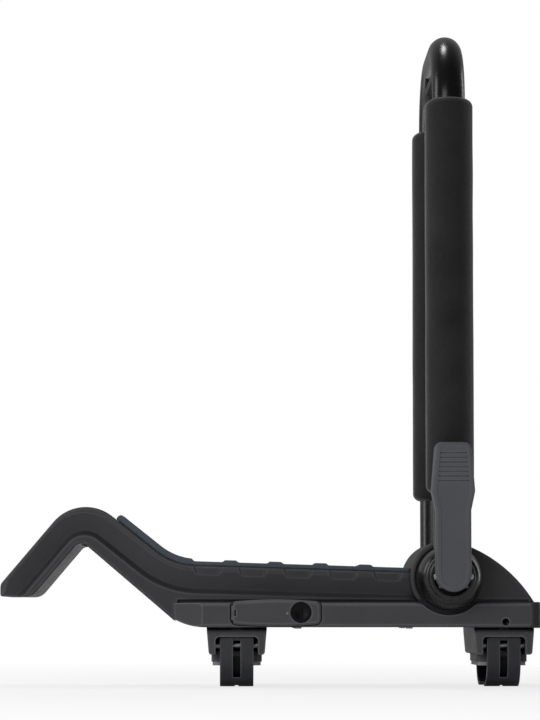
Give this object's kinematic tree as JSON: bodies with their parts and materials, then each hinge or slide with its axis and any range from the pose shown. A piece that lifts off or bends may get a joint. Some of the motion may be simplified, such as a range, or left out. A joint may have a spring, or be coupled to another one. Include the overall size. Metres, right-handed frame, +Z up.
{
  "type": "folding j-style kayak carrier",
  "caption": "Folding J-style kayak carrier: a hooked cradle with a ribbed pad, a foam-sleeved U arm on a cam-lever hinge, a locking cover and clamping crossbar feet.",
  "frame": {"origin": "on the crossbar seat plane, midway between the two feet, in the middle plane", "axes": "+X along the crossbar from the hook to the arm, +Y along the hull, +Z up"},
  "size_m": [0.5214, 0.2445, 0.6404],
  "materials": {
    "body": "fine moulded texture",
    "pad": "matt",
    "tube": "satin powder coat",
    "foam": "closed-cell foam",
    "lever": "satin",
    "hub": "satin",
    "jaw_steel": "satin black",
    "zinc_steel": "zinc plated",
    "seat_rubber": "matt",
    "lock_metal": "dark plated",
    "bearing_plastic": "plain"
  },
  "bodies": {
    "base": {"base_rail": "body", "rail_end_cap": "body", "bottom_plate": "body", "bottom_screws": "zinc_steel", "foot_screws": "zinc_steel", "cradle_body": "body", "hull_pad": "pad", "hinge_tower": "body", "bolt_bushing_near": "bearing_plastic", "bolt_bushing_far": "bearing_plastic", "friction_washer_near": "bearing_plastic", "friction_washer_far": "bearing_plastic", "left_foot_housing": "body", "left_saddle": "body", "left_seat_pad": "seat_rubber", "left_jaw_pin_near": "zinc_steel", "left_jaw_pin_far": "zinc_steel", "right_foot_housing": "body", "right_saddle": "body", "right_seat_pad": "seat_rubber", "right_jaw_pin_near": "zinc_steel", "right_jaw_pin_far": "zinc_steel"},
    "arm": {"arm_tube": "tube", "strap_guide": "body", "guide_screws": "zinc_steel", "arm_hub_near": "hub", "arm_hub_far": "hub", "cam_washer": "hub", "hub_cap_far": "body", "foam_near": "foam", "foam_far": "foam"},
    "bolt": {"hinge_bolt": "zinc_steel", "hinge_nut": "zinc_steel"},
    "lever": {"clamp_lever": "lever", "cam_pin": "zinc_steel"},
    "cover": {"lock_cover": "body", "cover_hinge_pin": "zinc_steel", "lock_housing": "lock_metal"},
    "lock": {"lock_plug": "lock_metal", "lock_latch": "zinc_steel"},
    "left_screw": {"left_tie_screw": "zinc_steel"},
    "left_near_jaw": {"left_jaw_near": "jaw_steel"},
    "left_near_nut": {"left_tie_nut_near": "zinc_steel"},
    "left_far_jaw": {"left_jaw_far": "jaw_steel"},
    "left_far_nut": {"left_tie_nut_far": "zinc_steel"},
    "right_screw": {"right_tie_screw": "zinc_steel"},
    "right_near_jaw": {"right_jaw_near": "jaw_steel"},
    "right_near_nut": {"right_tie_nut_near": "zinc_steel"},
    "right_far_jaw": {"right_jaw_far": "jaw_steel"},
    "right_far_nut": {"right_tie_nut_far": "zinc_steel"}
  },
  "joints": [
    {"name": "arm_fold", "type": "hinge", "parent": "base", "child": "arm", "pos_m": [0.075, 0, 0.085], "axis": [0, -1, 0], "range_deg": [0, 88]},
    {"name": "bolt_slide", "type": "slide", "parent": "arm", "child": "bolt", "axis": [0, 1, 0], "range_m": [0, 0.0012]},
    {"name": "lever_swing", "type": "hinge", "parent": "bolt", "child": "lever", "pos_m": [0.075, -0.1215, 0.085], "axis": [1, 0, 0], "range_deg": [0, 60]},
    {"name": "cover_swing", "type": "hinge", "parent": "base", "child": "cover", "pos_m": [-0.133, -0.07375, 0.0512], "axis": [0, 0, -1], "range_deg": [0, 100]},
    {"name": "lock_turn", "type": "hinge", "parent": "cover", "child": "lock", "pos_m": [-0.0679, -0.0735, 0.0517], "axis": [0, -1, 0], "range_deg": [0, 90]},
    {"name": "left_clamp_screw", "type": "hinge", "parent": "base", "child": "left_screw", "pos_m": [-0.1296, 0, 0.0425], "axis": [0, -1, 0], "range_deg": [0, 1413.72]},
    {"name": "left_near_jaw_swing", "type": "hinge", "parent": "base", "child": "left_near_jaw", "pos_m": [-0.1296, -0.046, 0.02], "axis": [-1, 0, 0], "range_deg": [0, 10.05]},
    {"name": "left_near_nut_slide", "type": "slide", "parent": "base", "child": "left_near_nut", "axis": [0, 1, 0], "range_m": [0, 0.00395]},
    {"name": "left_far_jaw_swing", "type": "hinge", "parent": "base", "child": "left_far_jaw", "pos_m": [-0.1296, 0.046, 0.02], "axis": [1, 0, 0], "range_deg": [0, 10.05]},
    {"name": "left_far_nut_slide", "type": "slide", "parent": "base", "child": "left_far_nut", "axis": [0, -1, 0], "range_m": [0, 0.00395]},
    {"name": "right_clamp_screw", "type": "hinge", "parent": "base", "child": "right_screw", "pos_m": [0.1296, 0, 0.0425], "axis": [0, -1, 0], "range_deg": [0, 1413.72]},
    {"name": "right_near_jaw_swing", "type": "hinge", "parent": "base", "child": "right_near_jaw", "pos_m": [0.1296, -0.046, 0.02], "axis": [-1, 0, 0], "range_deg": [0, 10.05]},
    {"name": "right_near_nut_slide", "type": "slide", "parent": "base", "child": "right_near_nut", "axis": [0, 1, 0], "range_m": [0, 0.00395]},
    {"name": "right_far_jaw_swing", "type": "hinge", "parent": "base", "child": "right_far_jaw", "pos_m": [0.1296, 0.046, 0.02], "axis": [1, 0, 0], "range_deg": [0, 10.05]},
    {"name": "right_far_nut_slide", "type": "slide", "parent": "base", "child": "right_far_nut", "axis": [0, -1, 0], "range_m": [0, 0.00395]}
  ],
  "couplings": [
    {"joint": "bolt_slide", "follows": "lever_swing", "m_per_rad": 0.0011459},
    {"joint": "left_near_jaw_swing", "follows": "left_clamp_screw", "ratio": 0.0070736},
    {"joint": "left_near_nut_slide", "follows": "left_clamp_screw", "m_per_rad": 0.00015915},
    {"joint": "left_far_jaw_swing", "follows": "left_clamp_screw", "ratio": 0.0070736},
    {"joint": "left_far_nut_slide", "follows": "left_clamp_screw", "m_per_rad": 0.00015915},
    {"joint": "right_near_jaw_swing", "follows": "right_clamp_screw", "ratio": 0.0070736},
    {"joint": "right_near_nut_slide", "follows": "right_clamp_screw", "m_per_rad": 0.00015915},
    {"joint": "right_far_jaw_swing", "follows": "right_clamp_screw", "ratio": 0.0070736},
    {"joint": "right_far_nut_slide", "follows": "right_clamp_screw", "m_per_rad": 0.00015915}
  ]
}
